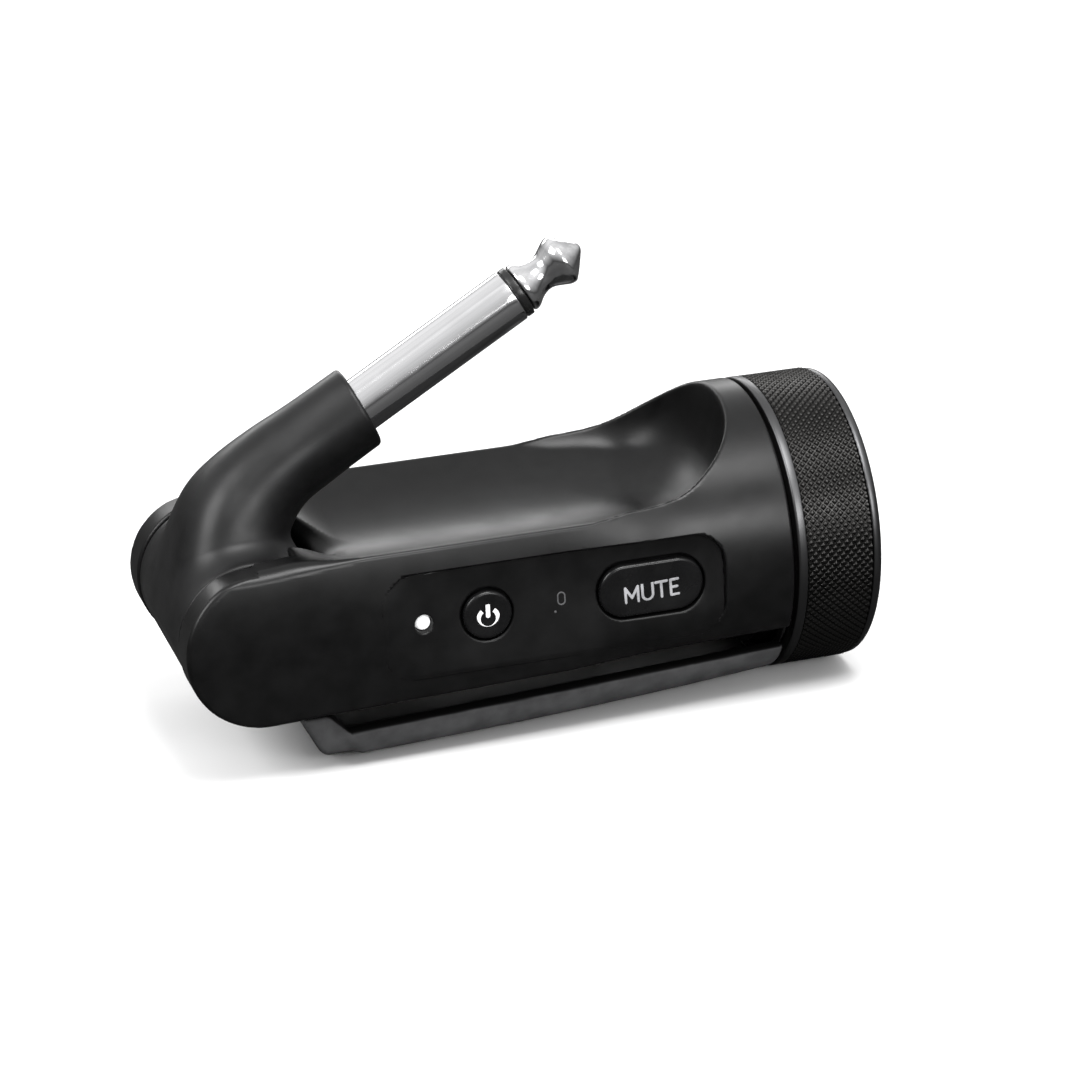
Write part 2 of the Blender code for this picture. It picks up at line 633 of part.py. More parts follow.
def main():
    clear_scene()
    frame = add_empty("frame", (0, 0, 0))
    housing(frame)
    panel(frame)
    buttons(frame)
    indicators(frame)
    electronics(frame)
    battery(frame)
    cap(frame)
    arm(frame)
    clip(frame)


main()
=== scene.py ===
import json
import math

import bpy
import numpy as np
from mathutils import Matrix, Vector


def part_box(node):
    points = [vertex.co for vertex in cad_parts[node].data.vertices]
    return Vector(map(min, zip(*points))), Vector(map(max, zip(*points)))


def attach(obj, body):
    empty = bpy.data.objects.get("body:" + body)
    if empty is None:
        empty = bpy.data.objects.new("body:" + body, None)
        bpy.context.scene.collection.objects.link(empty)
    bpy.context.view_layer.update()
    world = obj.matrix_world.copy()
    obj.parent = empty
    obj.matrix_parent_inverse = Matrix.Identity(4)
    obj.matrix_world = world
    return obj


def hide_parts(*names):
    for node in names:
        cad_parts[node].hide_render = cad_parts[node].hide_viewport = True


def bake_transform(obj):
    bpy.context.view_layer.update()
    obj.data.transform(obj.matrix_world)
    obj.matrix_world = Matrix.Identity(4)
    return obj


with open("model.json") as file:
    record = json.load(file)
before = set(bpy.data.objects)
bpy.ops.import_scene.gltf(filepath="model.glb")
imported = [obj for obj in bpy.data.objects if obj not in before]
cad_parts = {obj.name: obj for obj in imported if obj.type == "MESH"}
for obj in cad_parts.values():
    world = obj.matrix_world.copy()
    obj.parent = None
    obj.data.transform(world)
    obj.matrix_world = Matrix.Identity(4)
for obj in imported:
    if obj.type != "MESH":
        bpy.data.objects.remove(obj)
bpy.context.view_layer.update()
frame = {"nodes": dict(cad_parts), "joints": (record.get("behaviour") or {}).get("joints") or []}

# Shapes below are worked out in millimetres from the plug arm's hinge, like a drawing of the body's side.
MM = 0.001
joints = {joint["name"]: joint for joint in frame["joints"]}
HINGE = np.array(joints["arm_fold"]["pos_m"], float)


def hinge_mm(point):
    return (np.array(point, float) - HINGE) / MM


def metres(points):
    return np.asarray(points, float) * MM + HINGE


def box_mm(node):
    low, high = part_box(node)
    return hinge_mm(low), hinge_mm(high)


# ---------------------------------------------------------------- distance fields

def ramp(x, low, high):
    """0 at low, 1 at high, smooth between."""
    t = np.clip((x - low) / (high - low), 0.0, 1.0)
    return t * t * (3 - 2 * t)


def mix(a, b, t):
    return a + (b - a) * t


def round_union(a, b, radius):
    return np.maximum(radius, np.minimum(a, b)) - np.hypot(
        np.maximum(radius - a, 0), np.maximum(radius - b, 0))


def round_both(a, b, radius):
    """What a and b share, with a rounded edge."""
    return np.minimum(-radius, np.maximum(a, b)) + np.hypot(
        np.maximum(radius + a, 0), np.maximum(radius + b, 0))


def round_cut(a, b, radius):
    return round_both(a, -b, radius)


def rounded_box_2d(u, v, half_u, half_v, corner):
    over_u, over_v = np.abs(u) - (half_u - corner), np.abs(v) - (half_v - corner)
    outside = np.hypot(np.maximum(over_u, 0), np.maximum(over_v, 0))
    return outside + np.minimum(np.maximum(over_u, over_v), 0) - corner


def segment_2d(u, v, start, end):
    """Distance from the line between two points."""
    du, dv = end[0] - start[0], end[1] - start[1]
    t = np.clip(((u - start[0]) * du + (v - start[1]) * dv) / (du * du + dv * dv), 0, 1)
    return np.hypot(u - start[0] - t * du, v - start[1] - t * dv)


def gradient(field, points, step=0.06):
    slopes = []
    for axis in range(3):
        shift = np.zeros(3)
        shift[axis] = step
        slopes.append((field(*(points + shift).T) - field(*(points - shift).T)) / (2 * step))
    return np.stack(slopes, 1)


SURFACE_PASSES = 3


def surface(field, low, high, cell):
    """Points, normals and quads of the surface where field is zero: one point to each cell that it crosses,
    drawn onto the surface along the field's gradient."""
    low, high = np.array(low, float), np.array(high, float)
    axes = [low[i] + cell * np.arange(int(np.ceil((high[i] - low[i]) / cell)) + 1) for i in range(3)]
    size = tuple(len(axis) for axis in axes)
    value = np.array(np.broadcast_to(field(*np.meshgrid(*axes, indexing="ij", sparse=True)), size))
    inside = value < 0
    cells, crossings = [], []
    for axis in range(3):
        step = np.eye(3, dtype=int)[axis]
        side_b, side_c = np.eye(3, dtype=int)[(axis + 1) % 3], np.eye(3, dtype=int)[(axis + 2) % 3]
        before = inside[tuple(slice(0, size[i] - step[i]) for i in range(3))]
        after = inside[tuple(slice(step[i], None) for i in range(3))]
        edges = np.argwhere(before != after)
        near = value[tuple(edges.T)]
        far = value[tuple((edges + step).T)]
        crossings.append(edges + (near / (near - far))[:, None] * step)
        around = np.stack([edges, edges - side_b, edges - side_b - side_c, edges - side_c], 1)
        outward = inside[tuple(edges.T)]
        around[~outward] = around[~outward][:, ::-1]
        cells.append(around)
    crossings, cells = np.concatenate(crossings), np.concatenate(cells)
    ids, index = np.unique(np.ravel_multi_index(tuple(cells.reshape(-1, 3).T), size), return_inverse=True)
    index = index.reshape(-1)
    count = np.bincount(index)
    points = np.stack([np.bincount(index, np.repeat(crossings[:, i], 4)) / count for i in range(3)], 1)
    points = low + cell * points
    for _ in range(SURFACE_PASSES):
        slope = gradient(field, points)
        steepness = np.maximum((slope ** 2).sum(1), 1e-6)
        move = -field(*points.T) / steepness
        move = np.clip(move, -cell / 2 / np.sqrt(steepness), cell / 2 / np.sqrt(steepness))
        points = points + slope * move[:, None]
    slope = gradient(field, points)
    normals = slope / np.maximum(np.linalg.norm(slope, axis=1), 1e-9)[:, None]
    return points, normals, index.reshape(-1, 4)


# ---------------------------------------------------------------- mesh pieces

def add_mesh(name, points, faces, materials, normals=None, material_index=None):
    mesh = bpy.data.meshes.new(name)
    mesh.from_pydata(metres(points).tolist(), [], [list(map(int, face)) for face in faces])
    for material in materials:
        mesh.materials.append(material)
    if material_index is not None:
        mesh.polygons.foreach_set("material_index", np.asarray(material_index, np.int32))
    mesh.shade_smooth()
    if normals is not None:
        mesh.normals_split_custom_set_from_vertices(np.asarray(normals, float).tolist())
    mesh.update()
    obj = bpy.data.objects.new(name, mesh)
    bpy.context.scene.collection.objects.link(obj)
    return obj


def add_surfaces(name, parts):
    """One mesh from several (field, low, high, cell, material)."""
    points, normals, faces, index, materials = [], [], [], [], []
    start = 0
    for number, (field, low, high, cell, material) in enumerate(parts):
        part_points, part_normals, part_faces = surface(field, low, high, cell)
        points.append(part_points)
        normals.append(part_normals)
        faces.append(part_faces + start)
        index += [number] * len(part_faces)
        materials.append(material)
        start += len(part_points)
    return add_mesh(name, np.concatenate(points), np.concatenate(faces), materials,
                    np.concatenate(normals), index)


def rings_mesh(name, rings, material, closed_profile=False, caps=False, sharp=None):
    """Joins rings of equal length. A closed profile joins the last ring to the first."""
    rings = np.asarray(rings, float)
    count, around = rings.shape[:2]
    faces = []
    for i in range(count if closed_profile else count - 1):
        a, b = i * around, (i + 1) % count * around
        for j in range(around):
            k = (j + 1) % around
            faces.append((a + j, a + k, b + k, b + j))
    if caps:
        faces.append(tuple(range(around))[::-1])
        faces.append(tuple((count - 1) * around + j for j in range(around)))
    obj = add_mesh(name, rings.reshape(-1, 3), faces, [material])
    mesh = obj.data
    if sharp:
        mesh.set_sharp_from_angle(angle=math.radians(sharp))
    return obj


def lathe_rings(profile, base, direction, segments):
    """Rings of a profile of (along, radius), turned about a line in the XZ plane."""
    base, direction = np.array(base, float), np.array(direction, float)
    direction /= np.linalg.norm(direction)
    side = np.cross(direction, (0, 1, 0))
    side /= np.linalg.norm(side)
    other = np.cross(direction, side)
    angle = 2 * np.pi * np.arange(segments) / segments
    ring = np.cos(angle)[:, None] * side + np.sin(angle)[:, None] * other
    return [base + along * direction + max(radius, 0.0) * ring for along, radius in profile]


def lathe(name, profile, base, direction, material, segments, sharp):
    """A turned piece. Its profile runs from low to high and starts and ends near the axis."""
    rings = lathe_rings(profile, base, direction, segments)
    return rings_mesh(name, rings, material, caps=True, sharp=sharp)


def arc(x, r, radius, start, end, steps):
    """Points of a rounded corner of a lathe profile, about (x, r), from one angle to another in degrees."""
    points = []
    for i in range(steps + 1):
        a = math.radians(mix(start, end, i / steps))
        points.append((x + radius * math.cos(a), r + radius * math.sin(a)))
    return points


# ---------------------------------------------------------------- materials

def principled(material):
    return material.node_tree.nodes["Principled BSDF"]


def new_material(name, colour, roughness, metallic=0.0, specular=0.5, coat=0.0):
    material = bpy.data.materials.new(name)
    material.use_nodes = True
    shader = principled(material)
    shader.inputs["Base Color"].default_value = (*colour, 1)
    shader.inputs["Roughness"].default_value = roughness
    shader.inputs["Metallic"].default_value = metallic
    shader.inputs["Specular IOR Level"].default_value = specular
    shader.inputs["Coat Weight"].default_value = coat
    shader.inputs["Coat Roughness"].default_value = 0.15
    return material


def node(material, kind, **values):
    made = material.node_tree.nodes.new(kind)
    for key, value in values.items():
        if key in made.inputs:
            made.inputs[key].default_value = value
        else:
            setattr(made, key, value)
    return made


def link(material, source, target):
    material.node_tree.links.new(source, target)


def noise(material, scale, detail=3.0, stretch=(1, 1, 1)):
    coordinates = node(material, "ShaderNodeTexCoord")
    mapping = node(material, "ShaderNodeMapping")
    mapping.inputs["Scale"].default_value = stretch
    link(material, coordinates.outputs["Object"], mapping.inputs["Vector"])
    texture = node(material, "ShaderNodeTexNoise", Scale=scale, Detail=detail)
    link(material, mapping.outputs["Vector"], texture.inputs["Vector"])
    return texture.outputs["Fac"]


def vary(material, socket, factor, low, high):
    """A value that follows a noise between low and high."""
    span = node(material, "ShaderNodeMapRange")
    span.inputs["From Min"].default_value = 0.3
    span.inputs["From Max"].default_value = 0.7
    span.inputs["To Min"].default_value = low
    span.inputs["To Max"].default_value = high
    link(material, factor, span.inputs["Value"])
    link(material, span.outputs["Result"], principled(material).inputs[socket])


def tint(material, factor, dark, light):
    """A base colour that follows a noise between two colours."""
    colours = node(material, "ShaderNodeValToRGB")
    colours.color_ramp.elements[0].position = 0.35
    colours.color_ramp.elements[0].color = (*dark, 1)
    colours.color_ramp.elements[1].position = 0.65
    colours.color_ramp.elements[1].color = (*light, 1)
    link(material, factor, colours.inputs["Fac"])
    link(material, colours.outputs["Color"], principled(material).inputs["Base Color"])


def bump(material, factor, height):
    """Relief of a height in metres."""
    made = node(material, "ShaderNodeBump", Strength=1.0, Distance=height)
    link(material, factor, made.inputs["Height"])
    link(material, made.outputs["Normal"], principled(material).inputs["Normal"])


def paint_shade_facing_up(material, colour):
    """Blends to another colour where the surface faces up: painted shade on the upward faces."""
    base = principled(material).inputs["Base Color"]
    coordinates = node(material, "ShaderNodeTexCoord")
    parts = node(material, "ShaderNodeSeparateXYZ")
    link(material, coordinates.outputs["Normal"], parts.inputs["Vector"])
    span = node(material, "ShaderNodeMapRange")
    span.inputs["From Min"].default_value = 0.25
    span.inputs["From Max"].default_value = 0.75
    link(material, parts.outputs["Z"], span.inputs["Value"])
    both = node(material, "ShaderNodeMixRGB")
    both.inputs["Color2"].default_value = (*colour, 1)
    link(material, span.outputs["Result"], both.inputs["Fac"])
    link(material, base.links[0].from_socket, both.inputs["Color1"])
    link(material, both.outputs["Color"], base)


def moulded(name, colour, roughness, specular, height=0.000004, spread=0.06, coat=0.0):
    """Moulded plastic or rubber: fine spark-eroded grain, slow changes in gloss, a trace of dust."""
    material = new_material(name, colour, roughness, specular=specular, coat=coat)
    bump(material, noise(material, 9000.0, 4.0), height)
    vary(material, "Roughness", noise(material, 160.0, 3.0), roughness - spread, roughness + spread)
    light = tuple(min(c * 1.25 + 0.001, 1) for c in colour)
    tint(material, noise(material, 420.0, 5.0), tuple(c * 0.88 for c in colour), light)
    return material


def turned_metal(name, colour, roughness, stretch, scale=900.0, height=0.0000008, spread=0.04):
    """Metal with fine tool marks, drawn out by stretch."""
    material = new_material(name, colour, roughness, metallic=1.0)
    marks = noise(material, scale, 3.0, stretch)
    bump(material, marks, height)
    vary(material, "Roughness", noise(material, 300.0, 3.0), roughness - spread, roughness + spread)
    tint(material, noise(material, 200.0, 3.0), tuple(c * 0.94 for c in colour), colour)
    return material


body_black = moulded("body_black", (0.0018, 0.0018, 0.0019), 0.34, 0.30)
arm_rubber = moulded("arm_rubber", (0.0034, 0.0034, 0.0036), 0.40, 0.34, height=0.000003)
panel_black = moulded("panel_black", (0.0016, 0.0016, 0.0017), 0.38, 0.28)
button_black = moulded("button_black", (0.0032, 0.0032, 0.0034), 0.26, 0.32, height=0.000002)
clip_grey = moulded("clip_grey", (0.038, 0.038, 0.039), 0.55, 0.05)
# Painted shade: the clip's upward-facing surfaces, in the slot under the body, are blended to near-black.
paint_shade_facing_up(clip_grey, (0.003, 0.003, 0.003))
seal_rubber = moulded("seal_rubber", (0.008, 0.008, 0.008), 0.6, 0.3)
mark_white = moulded("mark_white", (0.66, 0.66, 0.66), 0.45, 0.4, height=0.000001, spread=0.03)
mark_grey = moulded("mark_grey", (0.25, 0.25, 0.26), 0.50, 0.4, height=0.000001, spread=0.03)
mark_dim = moulded("mark_dim", (0.055, 0.055, 0.057), 0.40, 0.4, height=0.000001, spread=0.03)
led_white = moulded("led_white", (0.86, 0.87, 0.88), 0.25, 0.5, height=0.000001, spread=0.03)
led_shader = principled(led_white)
led_shader.inputs["Emission Color"].default_value = (1, 1, 1, 1)
led_shader.inputs["Emission Strength"].default_value = 0.45
grip_metal = turned_metal("grip_metal", (0.042, 0.041, 0.040), 0.36, (1, 1, 1), 5000.0, 0.000002, 0.07)
rim_metal = turned_metal("rim_metal", (0.10, 0.10, 0.102), 0.36, (40, 1, 1), 700.0)


def drawn_chrome():
    """Plated metal with fine streaks along the plug."""
    material = new_material("chrome", (0.7, 0.7, 0.71), 0.12, metallic=1.0)
    coordinates = node(material, "ShaderNodeTexCoord")
    mapping = node(material, "ShaderNodeMapping", vector_type="TEXTURE")
    mapping.inputs["Rotation"].default_value = (0, -math.radians(30), 0)
    mapping.inputs["Scale"].default_value = (60, 1, 1)
    link(material, coordinates.outputs["Object"], mapping.inputs["Vector"])
    streaks = node(material, "ShaderNodeTexNoise", Scale=900.0, Detail=4.0)
    link(material, mapping.outputs["Vector"], streaks.inputs["Vector"])
    tint(material, streaks.outputs["Fac"], (0.62, 0.62, 0.63), (0.88, 0.88, 0.89))
    bump(material, streaks.outputs["Fac"], 0.000001)
    vary(material, "Roughness", noise(material, 300.0), 0.09, 0.16)
    return material


chrome = drawn_chrome()
steel = turned_metal("steel", (0.56, 0.56, 0.57), 0.30, (1, 8, 1))
brass = turned_metal("brass", (0.72, 0.55, 0.26), 0.28, (8, 1, 1))
insulator_black = moulded("insulator_black", (0.006, 0.006, 0.006), 0.28, 0.5, height=0.000001)
board_green = moulded("board_green", (0.02, 0.10, 0.05), 0.35, 0.5)
switch_grey = moulded("switch_grey", (0.20, 0.20, 0.21), 0.5, 0.4)
ceramic_white = moulded("ceramic_white", (0.80, 0.80, 0.78), 0.5, 0.5, height=0.000002)
cell_wrap = moulded("cell_wrap", (0.05, 0.12, 0.30), 0.25, 0.5, height=0.000001, coat=0.3)

# ---------------------------------------------------------------- body

HALF_WIDTH = 16.5
ROUND_RADIUS = 17.4
ROUND_Z = 0.75
BLEND_START, BLEND_END = 33.0, 47.0
RIM_Y, RIM_Z = 15.4, 9.5
CHANNEL_FLOOR_Z = 5.1
EAR_INNER, EAR_RADIUS = 11.6, 9.0
BARREL_RADIUS, BARREL_ROOM = 8.8, 0.45
BODY_END = 62.0
BELLY_START, BELLY_RADIUS = 9.8, 12.9
NECK_END, NECK_BORE = 68.0, 13.4
THREAD_RADIUS, THREAD_DEPTH, THREAD_PITCH = 14.45, 0.22, 1.5
RECESS_BACK = -14.8
PIECE_BACK = -14.9
panel_low, panel_high = box_mm("control_panel")
PANEL_X, PANEL_Z = (panel_low[0] + panel_high[0]) / 2, (panel_low[2] + panel_high[2]) / 2
PANEL_MARGIN = 0.3
PANEL_HALF = (
    (panel_high[0] - panel_low[0]) / 2 + PANEL_MARGIN,
    (panel_high[2] - panel_low[2]) / 2 + PANEL_MARGIN,
)
PANEL_CORNER = 3.5

PLUG_ANGLE = math.radians(30)
PLUG_OFFSET = 10.7
PLUG_START = 17.0
COLLAR_END = 24.8
COLLAR_TILT = 0.09
SOCKET_RADIUS = 3.4
BARREL_HALF = 11.3
AXIS_X, AXIS_Z = math.cos(PLUG_ANGLE), math.sin(PLUG_ANGLE)


def plug_point(along):
    return along * AXIS_X - PLUG_OFFSET * AXIS_Z, along * AXIS_Z + PLUG_OFFSET * AXIS_X


# Sections of the arm: centre in XZ, half depth, half width, squareness (2 is an ellipse)
ARM_SECTIONS = [
    (0.0, 0.0, 8.6, 11.0, 4.0),
    (0.0, 4.0, 7.9, 10.8, 3.6),
    (0.1, 7.3, 7.1, 9.4, 3.0),
    (0.9, 10.6, 6.3, 7.6, 2.5),
    (2.9, 13.2, 5.8, 6.4, 2.2),
    (*plug_point(13.0), 5.25, 5.6, 2.0),
    (*plug_point(17.0), 5.05, 5.15, 2.0),
    (*plug_point(COLLAR_END + 1), 4.9, 4.9, 2.0),
]


def smooth_path(rows, per_span=24):
    """Rows filled in between with a curve through them all."""
    rows = np.array(rows, float)
    spans = np.linalg.norm(np.diff(rows[:, :2], axis=0), axis=1)
    at = np.concatenate([[0], np.cumsum(spans)])
    slope = np.gradient(rows, at, axis=0)
    filled = []
    for i, span in enumerate(spans):
        for step in range(per_span):
            t = step / per_span
            filled.append(
                rows[i] * (2 * t ** 3 - 3 * t ** 2 + 1) + rows[i + 1] * (3 * t ** 2 - 2 * t ** 3)
                + span * (slope[i] * (t ** 3 - 2 * t ** 2 + t) + slope[i + 1] * (t ** 3 - t ** 2)))
    return np.array(filled + [rows[-1]])


ARM_PATH = smooth_path(ARM_SECTIONS)


def path_table(low_x=-16.0, low_z=-16.0, count=240, cell=0.2):
    """On a grid in XZ: the signed distance across the path and the section's sizes, smoothed a little."""
    x = low_x + cell * np.arange(count)[:, None]
    z = low_z + cell * np.arange(count)[None, :]
    best = np.full((count, count), np.inf)
    found = np.zeros((4, count, count))
    for a, b in zip(ARM_PATH[:-1], ARM_PATH[1:]):
        du, dv = b[0] - a[0], b[1] - a[1]
        length = math.hypot(du, dv)
        t = np.clip(((x - a[0]) * du + (z - a[1]) * dv) / length ** 2, 0, 1)
        gap = (x - a[0] - t * du) ** 2 + (z - a[1] - t * dv) ** 2
        closer = gap < best
        best = np.where(closer, gap, best)
        found[0] = np.where(closer, ((x - a[0]) * dv - (z - a[1]) * du) / length, found[0])
        for i in range(3):
            found[i + 1] = np.where(closer, mix(a[2 + i], b[2 + i], t), found[i + 1])
    reach, spread = 8, 3.0
    weights = np.exp(-0.5 * (np.arange(-reach, reach + 1) / spread) ** 2)
    weights /= weights.sum()
    for axis in (1, 2):
        margins = [(reach, reach) if i == axis else (0, 0) for i in range(3)]
        padded = np.pad(found, margins, mode="edge")
        found = sum(w * np.take(padded, np.arange(count) + k, axis=axis) for k, w in enumerate(weights))
    return found, low_x, low_z, cell


PATH_TABLE = path_table()


def nearest_on_path(x, z):
    """For points in XZ: the signed distance across the path, and the section's sizes there."""
    table, low_x, low_z, cell = PATH_TABLE
    u, v = np.broadcast_arrays((x - low_x) / cell, (z - low_z) / cell)
    u, v = (np.clip(w, 0, table.shape[1] - 1.001) for w in (u, v))
    i, j = u.astype(int), v.astype(int)
    fu, fv = u - i, v - j
    near = table[:, i, j] * (1 - fv) + table[:, i, j + 1] * fv
    far = table[:, i + 1, j] * (1 - fv) + table[:, i + 1, j + 1] * fv
    across, depth, width, squareness = near * (1 - fu) + far * fu
    return across, (depth, width, squareness)


def arm_solid(x, y, z):
    """The arm without its plug's socket."""
    across, (depth, width, squareness) = nearest_on_path(x, z)
    reach = (np.abs(across) / depth) ** squareness + (np.abs(y) / width) ** squareness
    section = (reach ** (1 / squareness) - 1) * np.minimum(depth, width)
    out = z * AXIS_X - x * AXIS_Z - PLUG_OFFSET
    collar = x * AXIS_X + z * AXIS_Z - COLLAR_TILT * out - COLLAR_END
    neck = round_both(section, np.maximum(collar, -z), 0.5)
    barrel = np.hypot(x, z) - BARREL_RADIUS
    return round_both(round_union(neck, barrel, 1.6), np.abs(y) - BARREL_HALF, 0.35)


def arm_field(x, y, z):
    solid = arm_solid(x, y, z)
    off_axis = np.hypot(z * AXIS_X - x * AXIS_Z - PLUG_OFFSET, y) - SOCKET_RADIUS
    socket = np.maximum(off_axis, PLUG_START - (x * AXIS_X + z * AXIS_Z))
    return round_cut(solid, socket, 0.15)


# Degrees of folding at which the body leaves room for the arm: down onto it, and then near fully open
SWING = (3, 6, 9, 12, 15, 18, 21, 24, 27, 30, -138, -144, -150)
SWING_ROOM = 0.2


def swing_space(x, y, z):
    """What the arm needs as it folds down onto the body and opens right out, with a little room."""
    swept = np.hypot(x, z) - BARREL_RADIUS - BARREL_ROOM + 0 * y
    near = np.broadcast_to((x < 22) & (z > -12) & (np.abs(y) < 13), swept.shape)
    nx, ny, nz = (np.broadcast_to(axis, swept.shape)[near] for axis in (x, y, z))
    closest = swept[near]
    for degrees in SWING:
        c, s = math.cos(math.radians(degrees)), math.sin(math.radians(degrees))
        closest = np.minimum(closest, arm_solid(nx * c - nz * s, ny, nx * s + nz * c) - SWING_ROOM)
    swept[near] = closest
    return swept


def channel_field(x, y, z):
    """The concave channel for the folded plug, with its side walls and rounded end wall."""
    sunk = ramp(x, 3, 13)
    rim = mix(EAR_RADIUS, RIM_Z, ramp(x, -1, 7))
    floor = rim - (RIM_Z - CHANNEL_FLOOR_Z) * sunk * (1 - (y / RIM_Y) ** 2)

    # The end wall rises as an ellipse
    wall_start, wall_length, wall_height = 48.6, 10.4, 12.9
    u = np.maximum(x - wall_start, 0) / wall_length
    v = (floor + wall_height - z) / wall_height
    q = np.hypot(u, v)
    ends = (q - 1) * q / np.maximum(np.hypot(u / wall_length, v / wall_height), 1e-4)

    # Seen from above, the channel is open at its sides and closes to a rounded end
    close_start, close_length = 40.0, 19.1
    across_power, along_power = 2.44, 2.4
    half = mix(20.0, 15.3, ramp(x, 30.0, 44.0))
    t = np.maximum(x - close_start, 0) / close_length
    w = np.abs(y) / half
    outline = w ** across_power + t ** along_power
    steep = np.hypot(
        across_power * w ** (across_power - 1) / half,
        along_power * t ** (along_power - 1) / close_length)
    sides = (outline - 1) / np.maximum(steep, 0.03)
    return round_both(ends, sides, 2.6)


def recess_field(x, y, z):
    window = rounded_box_2d(x - PANEL_X, z - PANEL_Z, *PANEL_HALF, PANEL_CORNER)
    return np.maximum(window, y - RECESS_BACK)


def crown(z):
    """How far the side faces curve in towards their upper and lower edges."""
    return 1.25 * (np.maximum(z - 0.5, 0) / 8.6) ** 2 + 0.25 * (np.maximum(-z - 3.5, 0) / 5) ** 2


def body_field(x, y, z):
    square = (np.abs(y) + crown(z) - HALF_WIDTH) * 0.97
    around = np.hypot(y, z - ROUND_Z)
    section = mix(square, around - ROUND_RADIUS, ramp(x, BLEND_START, BLEND_END))
    under_rise = 1.8
    under = 0.1 * ramp(x, 0, 6) + under_rise / BODY_END * np.maximum(x, 0) - EAR_RADIUS - z
    outline = np.where(x < 0, np.hypot(x, z) - EAR_RADIUS, under)
    solid = round_both(section, outline, 0.5)
    solid = round_both(solid, x - BODY_END, 0.35)
    belly = np.maximum(around - BELLY_RADIUS, np.maximum(BELLY_START - x, x - BODY_END + 0.2))
    solid = round_union(solid, belly, 1.0)
    solid = round_cut(solid, channel_field(x, y, z), mix(1.3, 0.65, ramp(x, 5, 13)))
    between = round_both(np.abs(y) - EAR_INNER, swing_space(x, y, z), 0.2)
    wall_x = 4.7
    ahead = np.maximum(np.abs(y) - EAR_INNER, x - wall_x)
    solid = round_cut(solid, np.minimum(between, ahead), 0.35)
    solid = round_cut(solid, recess_field(x, y, z), 0.22 - 0.12 * ramp(PANEL_Z - z, -3, 2))

    # The threaded neck that the cap screws onto, and its bore
    turn = x / THREAD_PITCH - np.arctan2(y, z - ROUND_Z) / (2 * np.pi)
    thread = THREAD_RADIUS + THREAD_DEPTH * np.cos(2 * np.pi * turn)
    plain_radius = 14.1
    thread = mix(plain_radius, thread, ramp(x, 62.4, 62.8) * (1 - ramp(x, 67.2, 67.8)))
    neck = np.maximum(around - thread, np.maximum(x - NECK_END, 60.0 - x))
    solid = np.minimum(solid, neck)
    return np.maximum(solid, -np.maximum(around - NECK_BORE, BODY_END - x))


housing = add_surfaces("housing_shell", [
    (body_field, (-9.6, -18.0, -14.6), (68.6, 18.0, 18.8), 0.34, body_black)])
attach(housing, "body")
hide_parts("housing")

# ---------------------------------------------------------------- control panel, buttons and lights

POWER_X, POWER_Z, POWER_RADIUS = 25.5, 0.5, 2.85
MUTE_X, MUTE_Z, MUTE_HALF = 44.95, 0.8, (6.25, 3.15)
LED_X, LED_Z, LED_RADIUS = 18.1, 0.5, 0.95
LINK_X, LINK_Z = 34.3, 1.0
BUTTON_FRONT, BUTTON_BACK = -16.3, -15.25
BUTTON_DISH = 0.10
BUTTON_GAP, LED_GAP = 0.22, 0.08
TEXT_X, TEXT_Z = 44.9, 0.4
TEXT_TILT = math.radians(2.6)
DISH_DEEPEST = -15.5
LEFT_SLOPE = 8.0
PANEL_PROUD = 0.015
PANEL_LAP = 0.5


def power_outline(x, z):
    return np.hypot(x - POWER_X, z - POWER_Z) - POWER_RADIUS


def mute_outline(x, z):
    return rounded_box_2d(x - MUTE_X, z - MUTE_Z, *MUTE_HALF, MUTE_HALF[1] - 0.05)


def dish_level(x, z):
    """The dish's Y at a point of the face: level with the face at its lower and left edges."""
    up = np.clip((z - PANEL_Z + PANEL_HALF[1]) / (2 * PANEL_HALF[1]), 0, 1)
    left = np.clip((x - PANEL_X + PANEL_HALF[0]) / LEFT_SLOPE, 0, 1)
    face = crown(z) - HALF_WIDTH
    face = mix(face, -np.sqrt(ROUND_RADIUS ** 2 - (z - ROUND_Z) ** 2), ramp(x, BLEND_START, BLEND_END))
    right = ramp(PANEL_X + PANEL_HALF[0] - x, -0.5, 3)
    sunk = np.sin(np.pi / 2 * up) * np.sin(np.pi / 2 * left) * (0.5 + 0.5 * right)
    return mix(face - PANEL_PROUD, DISH_DEEPEST, sunk)


def panel_field(x, y, z):
    """A dish, deepest at its crisp upper edge. Its lower and left edges lap over the housing's window."""
    lap = PANEL_LAP / 2
    window = rounded_box_2d(
        x - PANEL_X + lap, z - PANEL_Z + lap, PANEL_HALF[0] + lap, PANEL_HALF[1] + lap, PANEL_CORNER)
    plate = np.maximum(dish_level(x, z) - y, y - PIECE_BACK)
    solid = np.maximum(plate, window - 0.05)
    holes = np.minimum(power_outline(x, z), mute_outline(x, z)) - BUTTON_GAP
    holes = np.minimum(holes, np.hypot(x - LED_X, z - LED_Z) - LED_RADIUS - LED_GAP)
    return round_cut(solid, holes, 0.18)


panel_start = (PANEL_X - PANEL_HALF[0] - 1.1, -17.8, PANEL_Z - PANEL_HALF[1] - 1.1)
panel_end = (PANEL_X + PANEL_HALF[0] + 0.5, -14.5, PANEL_Z + PANEL_HALF[1] + 0.5)
panel = add_surfaces("control_panel_dish", [(panel_field, panel_start, panel_end, 0.2, panel_black)])
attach(panel, "body")
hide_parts("control_panel")


def button_solid(outline, y, dish_width):
    """A button cap with a rounded edge and a slightly dished front."""
    dish = BUTTON_DISH * ramp(-outline, 0.4, dish_width)
    return round_both(outline, np.maximum(BUTTON_FRONT + dish - y, y - BUTTON_BACK), 0.38)


def power_field(x, y, z):
    return button_solid(power_outline(x, z), y, 2.8)


def mute_field(x, y, z):
    return button_solid(mute_outline(x, z), y, 3.0)


